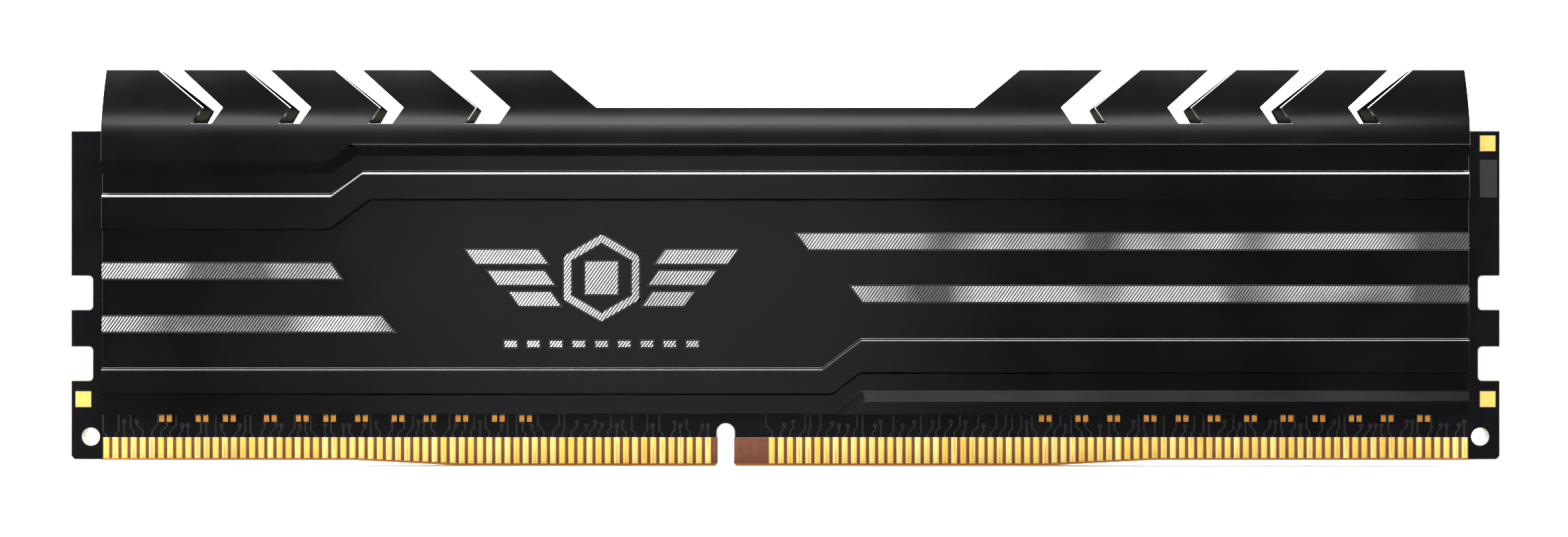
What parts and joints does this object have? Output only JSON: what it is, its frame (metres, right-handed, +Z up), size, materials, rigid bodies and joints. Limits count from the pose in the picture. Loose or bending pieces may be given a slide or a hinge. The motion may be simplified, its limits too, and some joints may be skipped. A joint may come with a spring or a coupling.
{
  "type": "memory module",
  "caption": "Desktop memory module with an edge connector, a key slot, latch notches and finned heat spreaders over its chips.",
  "frame": {"origin": "middle of the seating edge, on the circuit board's mid-plane", "axes": "+X along the module with the key slot left of the middle, seen from the front; the front with the short contact group at its left faces -Y; +Z up out of the socket"},
  "size_m": [0.1334, 0.0072, 0.0369],
  "materials": {
    "laminate": "matte glass-epoxy",
    "solder_mask": "satin black",
    "gold": "gold plate",
    "tin": "satin",
    "ink": "matte",
    "moulding": "matte",
    "ceramic": "matte",
    "thermal_pad": "matte",
    "spreader": "satin black paint",
    "bright_trim": "bright, fine slanted hatch"
  },
  "bodies": {
    "root": {"board_laminate": "laminate", "bright_strip_front_1": "bright_trim", "bright_strip_front_2": "bright_trim", "bright_strip_front_3": "bright_trim", "bright_strip_front_4": "bright_trim", "bright_strip_rear_1": "bright_trim", "bright_strip_rear_2": "bright_trim", "bright_strip_rear_3": "bright_trim", "bright_strip_rear_4": "bright_trim", "capacitor_caps_front": "tin", "capacitor_caps_rear": "tin", "capacitors_front": "ceramic", "capacitors_rear": "ceramic", "component_pads_front": "gold", "component_pads_rear": "gold", "edge_contacts_front": "gold", "edge_contacts_rear": "gold", "emblem_front": "bright_trim", "emblem_rear": "bright_trim", "heat_spreader_front": "spreader", "heat_spreader_rear": "spreader", "ink_mark": "ink", "memory_chip_front_1": "moulding", "memory_chip_front_2": "moulding", "memory_chip_front_3": "moulding", "memory_chip_front_4": "moulding", "memory_chip_front_5": "moulding", "memory_chip_front_6": "moulding", "memory_chip_front_7": "moulding", "memory_chip_front_8": "moulding", "memory_chip_rear_1": "moulding", "memory_chip_rear_2": "moulding", "memory_chip_rear_3": "moulding", "memory_chip_rear_4": "moulding", "memory_chip_rear_5": "moulding", "memory_chip_rear_6": "moulding", "memory_chip_rear_7": "moulding", "memory_chip_rear_8": "moulding", "resistor_caps_front": "tin", "resistor_caps_rear": "tin", "series_resistors_front": "moulding", "series_resistors_rear": "moulding", "solder_balls_front": "tin", "solder_balls_rear": "tin", "solder_mask_front": "solder_mask", "solder_mask_rear": "solder_mask", "spd_chip": "moulding", "spd_terminals": "tin", "test_pads_front": "gold", "test_pads_rear": "gold", "thermal_pad_front": "thermal_pad", "thermal_pad_rear": "thermal_pad"}
  },
  "joints": []
}
